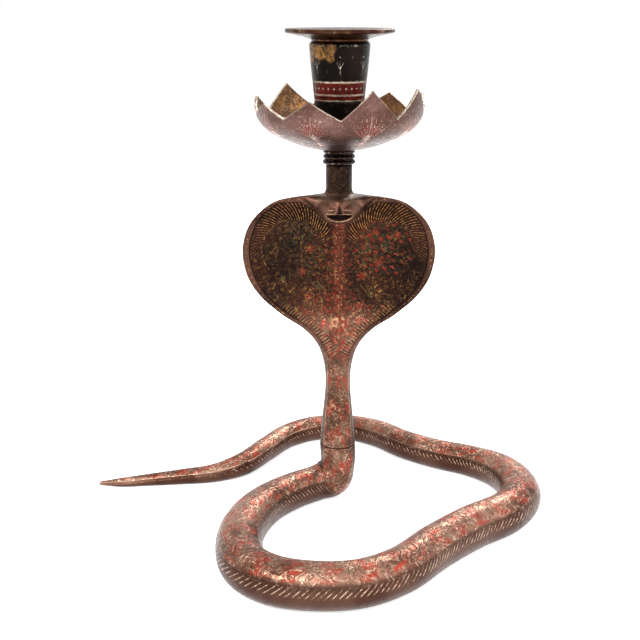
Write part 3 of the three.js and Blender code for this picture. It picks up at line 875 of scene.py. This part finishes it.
def hood_piece():
    forms = [
        tube_object("hood_form", hood_rings(260, 120)),
        head_form(),
        stem_piece(),
    ]
    piece = joined_and_remeshed("hood_and_head", forms, 0.42, 8)
    points, normals = points_of(piece), normals_of(piece)
    red, green, gold, groove_and_shade, phase, hatched, tone = hood_pattern(points, normals)
    masks, neck_phase, neck_hatched, below = neck_pattern(points)
    red, green, gold, groove_and_shade = (np.maximum(a, b) for a, b in zip((red, green, gold, groove_and_shade), masks))
    phase = np.where(below, neck_phase, phase)
    hatched = np.where(below, neck_hatched, hatched)
    push, dark, bright = face_marks(points)
    groove_and_shade = np.clip(np.maximum(groove_and_shade, dark), 0, 1)
    tone = np.maximum(tone * (1 - dark), 0.6 * bright)
    gold = np.clip(np.maximum(gold, bright), 0, 1)
    furrow = hatched * strokes(phase, 1, 0.4)
    points = points - normals * (0.12 * furrow + 0.03 * gold)[:, None]
    points[:, 1] += push
    points[:, 2] = np.maximum(points[:, 2], SEAM_HEIGHT + JOINT_GAP / 2)
    points[:, 2] = np.minimum(points[:, 2], STEM_TOP)
    move_points(piece, points)
    paint(piece, red, green, gold, groove_and_shade, phase, hatched, tone)
    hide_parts("hood_casting")
    return piece


# Turned pieces

def ring_pieces():
    made = []
    for node in ("lower_ring", "middle_ring", "upper_ring"):
        low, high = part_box(node)
        radius, height = (high.x - low.x) / 2 / MM, (high.z - low.z) / MM
        arc = np.linspace(-math.pi / 2, math.pi / 2, 13)
        outline = [(2.5, 0)]
        outline += [(radius - 1.3 + 1.3 * math.cos(a), height / 2 * (1 + math.sin(a))) for a in arc]
        outline += [(2.5, height)]
        piece = turned_object(node + "_bead", outline, low.z / MM, 128)
        fix_normals(piece)
        z = points_of(piece)[:, 2]
        worn = bump(z - (low.z + high.z) / 2 / MM, 0.5)
        paint(piece, 0 * z + 0.06, z * 0, 0.5 * worn, z * 0)
        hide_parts(node)
        made.append(piece)
    return made


def cup_outline():
    low, middle, high = CUP_BANDS
    seat = SLEEVE_RADIUS + JOINT_GAP
    seat_floor = CUP_HEIGHT - 4.0
    outer = [(CUP_FOOT_RADIUS, 0), (CUP_FOOT_RADIUS + 0.7, 4), (CUP_LOWER_RADIUS, low)]
    outer += [(CUP_LOWER_RADIUS + 0.3, middle), (CUP_LOWER_RADIUS + 0.9, high)]
    outer += [(CUP_TOP_RADIUS - 0.5, CUP_HEIGHT - 8.6), (CUP_TOP_RADIUS, CUP_HEIGHT - 2.1)]
    outer += [(CUP_TOP_RADIUS, CUP_HEIGHT - 1), (CUP_TOP_RADIUS - 0.7, CUP_HEIGHT)]
    inner = [(seat, CUP_HEIGHT), (seat, seat_floor), (SLEEVE_BORE + 0.1, seat_floor)]
    inner += [(CUP_LOWER_RADIUS - CUP_WALL, low), (CUP_LOWER_RADIUS - CUP_WALL - 0.8, CUP_FLOOR + 1)]
    inner += [(CUP_LOWER_RADIUS - CUP_WALL - 1.8, CUP_FLOOR), (0.01, CUP_FLOOR), (0.01, 6.5)]
    return outer + inner + [(2.5, 6.5), (2.5, 0)]


def cup_piece():
    low_corner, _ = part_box("candle_cup")
    base = low_corner.z / MM
    piece = turned_object("engraved_cup", cup_outline(), base, 320, 30)
    fix_normals(piece)
    points = points_of(piece)
    x, y, z = points.T
    h, radius = z - base, np.hypot(x, y)
    around = np.arctan2(x, -y)
    outside = (radius > CUP_LOWER_RADIUS - 0.4) & (h < CUP_HEIGHT - 0.5)
    low, middle, high = CUP_BANDS
    red = outside * smooth((h - low) / 0.3) * smooth((high - h) / 0.3)
    arc = around * CUP_LOWER_RADIUS
    bead_pitch = 2 * math.pi * CUP_LOWER_RADIUS / 28
    bead_x = (arc + bead_pitch / 2) % bead_pitch - bead_pitch / 2
    beads = line(np.hypot(bead_x, h - (middle + high) / 2), 0.6)
    gold = outside * np.clip(line(h - high, 0.6) + line(h - middle, 0.55) + line(h - low, 0.55) + beads, 0, 1)
    for k in range(7):
        centre = (k + 0.5) * 2 * math.pi / 7 - math.pi
        dx = (around - centre) * CUP_TOP_RADIUS
        dz = h - (high + 3)
        _, stalk = leaf(dx, dz, math.radians(90), 3.2, 0.2)
        gold = np.maximum(gold, 0.9 * outside * stalk)
        for turn in (62, 90, 118):
            _, rib = leaf(dx, dz - 2.6, math.radians(turn), 3.4, 0.2)
            gold = np.maximum(gold, 0.9 * outside * rib)
        gold = np.maximum(gold, outside * line(np.hypot(dx, dz - 7.6), 0.5))
    ragged = 0.5 + 0.7 * wander(arc * 1.7, h * 1.7, 51)
    worn = ragged * smooth((-x + 1) / 6) * smooth((h - 33) / 6) * smooth(-y / 3)
    mottled = 0.3 + 0.55 * wander(arc * 4, h * 2.5 + arc, 53)
    patch = outside * mottled * smooth((worn - 0.36) / 0.5)
    # A bright line round the top of the cup: worn brass with a painted highlight on its shoulder.
    rim_wear_and_highlight = outside * line(h - CUP_HEIGHT + 1.4, 0.5)
    paint(piece, red * 0.5, patch, np.maximum(gold, 0.5 * rim_wear_and_highlight), red * 0)
    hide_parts("candle_cup")
    return piece


def plate_piece():
    low_corner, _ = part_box("rim_plate")
    base = low_corner.z / MM + 3.6
    sleeve = SLEEVE_RADIUS
    outline = [(SLEEVE_BORE, -3.6), (sleeve, -3.6), (sleeve, JOINT_GAP), (sleeve + 0.7, JOINT_GAP)]
    outline += [(sleeve + 0.9, 1), (sleeve + 4.3, 2.1), (PLATE_RADIUS - 0.3, PLATE_RISE - 1.7)]
    outline += [(PLATE_RADIUS, PLATE_RISE - 1.4), (PLATE_RADIUS, PLATE_RISE - 0.3)]
    outline += [(PLATE_RADIUS - 0.3, PLATE_RISE), (PLATE_RADIUS - 3.3, PLATE_RISE)]
    outline += [(sleeve + 2.3, PLATE_RISE - 0.8), (SLEEVE_BORE + 0.8, PLATE_RISE - 1.2)]
    outline += [(SLEEVE_BORE, PLATE_RISE - 2)]
    piece = turned_object("dished_rim_plate", outline, base, 320, 8)
    fix_normals(piece)
    x, y, z = points_of(piece).T
    radius = np.hypot(x, y)
    edge = smooth((radius - PLATE_RADIUS + 0.5) / 0.4)
    field = wander(np.arctan2(x, -y) * 20, z * 3, 61)
    engraved = line((radius - 19) % 5, 0.3) * (z > base + 4)
    gold = 0.6 * edge * smooth((field - 0.62) / 0.2) + 0.3 * engraved
    paint(piece, 0 * z + 0.1, 0.2 * field, gold, z * 0)
    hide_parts("rim_plate")
    return piece


# Lotus pan

def petal_height(index, across):
    tips = np.array(PETAL_TIPS)[index % PETAL_COUNT]
    return tips + (PETAL_VALLEY - tips) * np.abs(across) ** 0.92


def pan_piece():
    low_corner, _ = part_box("lotus_pan")
    base = low_corner.z / MM
    samples, rows = 48, 90
    columns = PETAL_COUNT * samples
    column = np.arange(columns)
    across = (column % samples) / samples * 2 - 1
    index = column // samples
    angle = math.radians(PETAL_TURN) + (index + across / 2) * 2 * math.pi / PETAL_COUNT
    fine = np.linspace(0, 1, 1200)
    profile = uniform_spline(PAN_OUTLINE, fine)
    slope = np.gradient(profile, axis=0)
    slope /= np.linalg.norm(slope, axis=1)[:, None]
    top = np.interp(petal_height(index, across), profile[:, 1], fine)
    share = top[:, None] * np.linspace(0, 1, rows)[None, :]
    at = [np.interp(share, fine, values) for values in (*profile.T, *slope.T)]
    outer_r, outer_z, slope_r, slope_z = at
    inner_r, inner_z = outer_r - slope_z * PAN_WALL, outer_z + slope_r * PAN_WALL
    bore = np.full((columns, 1), 2.5)
    radius = np.hstack([bore, outer_r, inner_r[:, ::-1], bore])
    height = np.hstack([bore * 0, outer_z, inner_z[:, ::-1], bore * 0 + PAN_WALL])
    turn = np.repeat(angle[:, None], radius.shape[1], 1)
    points = np.stack([radius * np.sin(turn), -radius * np.cos(turn), base + height], 2)
    piece = mesh_object(
        "petal_pan", points.reshape(-1, 3), grid_faces(columns, radius.shape[1], wrap_rows=True)
    )
    fix_normals(piece)
    inside = np.zeros_like(radius)
    inside[:, rows + 1:] = 1
    lip = top[:, None] - np.hstack([share[:, :1], share, share[:, ::-1], share[:, :1]])
    arc = np.repeat(across[:, None], radius.shape[1], 1) * 13
    red, green, gold = pan_pattern(arc, height, inside)
    # Painted highlight along every petal's edge.
    gold = np.maximum(gold, smooth((0.014 - lip) / 0.01))
    green = np.maximum(green, inside * (0.3 + 0.7 * wander(turn * 30, height * 1.5, 71)))
    gold = np.maximum(gold, 0.5 * inside)
    paint(piece, red.ravel(), green.ravel(), gold.ravel(), np.zeros(red.size))
    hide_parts("lotus_pan")
    return piece


def pan_pattern(arc, height, inside):
    """A feathered spray on the outside of each petal, over a small low one."""
    outside = 1 - inside
    red, green, gold = (np.zeros_like(arc) for _ in range(3))
    for foot, reach, spread in ((6.5, 11.0, 13.0), (4.0, 4.0, 26.0)):
        for k in range(-4, 5):
            turn = math.radians(90 + spread * k)
            blade, rib = leaf(arc, height - foot, turn, reach * (1 - 0.04 * abs(k)), 0.38)
            red = np.maximum(red, blade * outside)
            gold = np.maximum(gold, 0.95 * rib * outside)
    stem = line(arc + 0.6 * np.sin(height * 0.6), 0.25) * (height > 2.5) * (height < 9)
    gold = np.maximum(gold, 0.9 * stem * outside)
    hatch = strokes(arc * 1.2 + height, 1.6, 0.2) * outside * wander(arc * 2, height * 2, 81)
    return red, green, np.maximum(gold, 0.12 + 0.35 * hatch)


# Stage

def area_light(name, place, aim, size, power):
    data = bpy.data.lights.new(name, "AREA")
    data.size = size
    data.energy = power
    lamp = bpy.data.objects.new(name, data)
    lamp.location = place
    lamp.rotation_euler = (Vector(aim) - Vector(place)).to_track_quat("-Z", "Y").to_euler()
    bpy.context.scene.collection.objects.link(lamp)


def white_world():
    """White to the camera and in reflections, softer as a light."""
    world = bpy.data.worlds.new("studio")
    bpy.context.scene.world = world
    world.use_nodes = True
    tree = world.node_tree
    background = tree.nodes["Background"]
    background.inputs["Color"].default_value = (1, 1, 1, 1)
    path = tree.nodes.new("ShaderNodeLightPath")
    seen = tree.nodes.new("ShaderNodeMath")
    seen.operation = "MAXIMUM"
    tree.links.new(path.outputs["Is Camera Ray"], seen.inputs[0])
    tree.links.new(path.outputs["Is Glossy Ray"], seen.inputs[1])
    through = tree.nodes.new("ShaderNodeMath")
    through.operation = "MAXIMUM"
    tree.links.new(seen.outputs[0], through.inputs[0])
    tree.links.new(path.outputs["Is Transmission Ray"], through.inputs[1])
    strength = tree.nodes.new("ShaderNodeMapRange")
    strength.inputs["To Min"].default_value = 0.5
    strength.inputs["To Max"].default_value = 1.0
    tree.links.new(through.outputs[0], strength.inputs["Value"])
    tree.links.new(strength.outputs["Result"], background.inputs["Strength"])


def stage():
    half = 3.0
    mesh = bpy.data.meshes.new("floor")
    corners = [(-half, -half, 0), (half, -half, 0), (half, half, 0), (-half, half, 0)]
    mesh.from_pydata(corners, [], [(0, 1, 2, 3)])
    floor = bpy.data.objects.new("floor", mesh)
    floor.location.z = -0.0002
    bpy.context.scene.collection.objects.link(floor)
    floor.data.materials.append(floor_material())
    white_world()
    aim = (0.0, 0.0, 0.11)
    area_light("key", (-0.45, -0.7, 0.95), aim, 0.55, 14)
    area_light("fill", (0.75, -0.5, 0.6), aim, 0.8, 6)
    area_light("back", (0.3, 0.7, 0.7), aim, 0.4, 7)


def camera():
    data = bpy.data.cameras.new("camera")
    data.lens = CAMERA_LENS
    data.sensor_width = SENSOR
    place = bpy.data.objects.new("camera", data)
    place.location = to_frame([CAMERA_PLACE])[0]
    place.rotation_euler = (math.radians(90 - CAMERA_PITCH), 0, 0)
    bpy.context.scene.collection.objects.link(place)
    bpy.context.scene.camera = place


def dress(piece, material, body):
    piece.data.materials.clear()
    piece.data.materials.append(material)
    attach(piece, body)


def main():
    bpy.context.scene.view_settings.view_transform = "Standard"
    camera()
    stage()
    snake = lacquer_material("snake_lacquer", LACQUER, LACQUER_RED, PALE_METAL,
                             scroll=SNAKE_SCROLL_SCALE)
    hood_skin = lacquer_material("hood_lacquer", HOOD_DARK, HOOD_BROWN, HOOD_GOLD, wear=0.35,
                                 rough=(0.32, 0.55))
    turned = lacquer_material("black_lacquer", BLACK_LACQUER, BLACK_WORN, CREAM, wear=0.12,
                              green=WORN_GOLD)
    petals = lacquer_material("pan_lacquer", PAN_LACQUER, PAN_WORN, CREAM, wear=0.2,
                              green=WORN_GOLD)
    bare = lacquer_material("bare_brass", BRASS, (0.5, 0.28, 0.1), wear=0.2, metal=0.95)

    shares, travelled = travelled_along(body_route())
    joint = np.interp((len(arc_route()) - 1) / (len(body_route()) - 1), shares, travelled)
    coil = body_piece("coil_body", "coil_casting", (NECK_LEAD, joint - TAIL_SEAM / 2), 980, 100,
                      SEAM_HEIGHT - JOINT_GAP / 2)
    tail = body_piece("tail_body", "tail_casting", (joint + TAIL_SEAM / 2, travelled[-1]), 260, 80)
    dress(coil, snake, "cobra")
    dress(tail, snake, "cobra")
    dress(hood_piece(), hood_skin, "cobra")
    for ring in ring_pieces():
        dress(ring, turned, "cobra")
    dress(pan_piece(), petals, "cobra")
    dress(cup_piece(), turned, "candle_cup")
    dress(plate_piece(), turned, "candle_cup")
    for node in ("neck_spigot", "tail_spigot", "tie_rod"):
        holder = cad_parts[node].data.materials
        holder.clear()
        holder.append(bare)


main()
